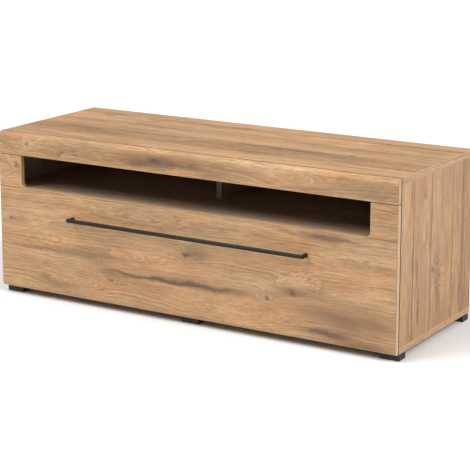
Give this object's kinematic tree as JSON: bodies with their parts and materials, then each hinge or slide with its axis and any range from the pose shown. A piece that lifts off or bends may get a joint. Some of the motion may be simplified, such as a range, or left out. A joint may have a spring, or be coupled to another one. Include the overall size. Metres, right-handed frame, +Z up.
{
  "type": "tv stand",
  "caption": "Low oak-look media cabinet with an open divided niche above one full-width drawer, a rounded front, a long bar handle and block feet.",
  "frame": {"origin": "on the floor, in the middle of the rectangle covered by the cabinet and its handle", "axes": "+X to the right along the width as seen from the front, +Y towards the back, +Z up; the front faces -Y"},
  "size_m": [1.38, 0.53, 0.52],
  "materials": {
    "oak_board": "satin embossed oak decor with plank joints and knots",
    "hardboard": "smooth thin fibreboard",
    "white_board": "fine-grained white melamine",
    "black_plastic": "fine-textured black",
    "anthracite_metal": "satin powder coat",
    "zinc_steel": "zinc plated",
    "beech": "fluted beech",
    "soft_bumper": "soft clear plastic"
  },
  "bodies": {
    "carcass": {"top_panel": "oak_board", "bottom_panel": "oak_board", "left_side": "oak_board", "right_side": "oak_board", "niche_shelf": "oak_board", "niche_divider": "oak_board", "back_panel": "hardboard", "back_panel_screws": "zinc_steel", "top_rail": "oak_board", "rail_spacers": "black_plastic", "rail_cams": "zinc_steel", "rail_bolts": "zinc_steel", "rail_dowels": "beech", "carcass_cams": "zinc_steel", "carcass_bolts": "zinc_steel", "carcass_dowels": "beech", "front_bumpers": "soft_bumper", "foot_front_left": "black_plastic", "foot_front_middle": "black_plastic", "foot_front_right": "black_plastic", "foot_rear_left": "black_plastic", "foot_rear_middle": "black_plastic", "foot_rear_right": "black_plastic", "foot_screws": "zinc_steel", "left_cabinet_slide": "zinc_steel", "right_cabinet_slide": "zinc_steel", "cabinet_slide_screws": "zinc_steel"},
    "left_slide_middle": {"left_middle_slide": "zinc_steel"},
    "right_slide_middle": {"right_middle_slide": "zinc_steel"},
    "drawer": {"drawer_front": "oak_board", "drawer_left_side": "white_board", "drawer_right_side": "white_board", "drawer_back": "white_board", "drawer_bottom": "white_board", "drawer_batten": "white_board", "drawer_cams": "zinc_steel", "drawer_bolts": "zinc_steel", "drawer_dowels": "beech", "drawer_screws": "zinc_steel", "left_drawer_slide": "zinc_steel", "right_drawer_slide": "zinc_steel", "drawer_slide_screws": "zinc_steel", "handle_bar": "anthracite_metal", "handle_left_post": "anthracite_metal", "handle_right_post": "anthracite_metal", "handle_screws": "zinc_steel"}
  },
  "joints": [
    {"name": "drawer_slide", "type": "slide", "parent": "carcass", "child": "drawer", "axis": [0, -1, 0], "range_m": [0, 0.4]},
    {"name": "left_slide_extend", "type": "slide", "parent": "carcass", "child": "left_slide_middle", "axis": [0, -1, 0], "range_m": [0, 0.2]},
    {"name": "right_slide_extend", "type": "slide", "parent": "carcass", "child": "right_slide_middle", "axis": [0, -1, 0], "range_m": [0, 0.2]}
  ],
  "couplings": [
    {"joint": "left_slide_extend", "follows": "drawer_slide", "ratio": 0.5},
    {"joint": "right_slide_extend", "follows": "drawer_slide", "ratio": 0.5}
  ]
}
